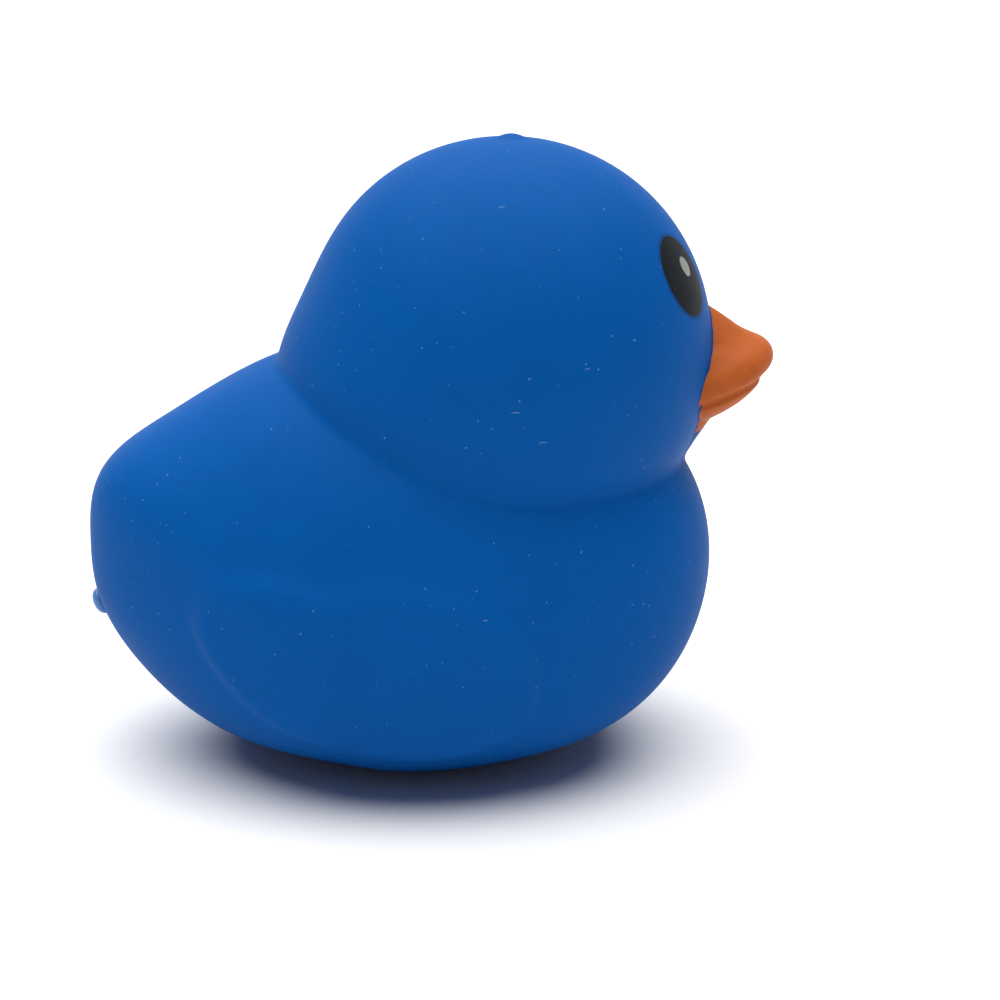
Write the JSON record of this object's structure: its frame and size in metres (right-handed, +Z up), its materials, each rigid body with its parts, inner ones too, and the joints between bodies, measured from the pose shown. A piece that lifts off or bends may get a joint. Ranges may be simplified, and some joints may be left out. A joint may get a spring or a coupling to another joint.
{
  "type": "squishy duck toy",
  "caption": "Soft squeeze duck in one moulded rubber skin, with embossed wings, a painted bill and eyes, and a small plug that seals its filling hole.",
  "frame": {"origin": "centre of the flat spot under the belly that the duck rests on", "axes": "+X forwards out of the bill, +Y to the duck's left, +Z up"},
  "size_m": [0.1088, 0.0814, 0.0995],
  "materials": {
    "skin": "matte soft rubber, with painted bill and eyes",
    "plug": "slightly glossy, translucent"
  },
  "bodies": {
    "root": {"duck_skin": "skin", "fill_plug": "plug"}
  },
  "joints": []
}
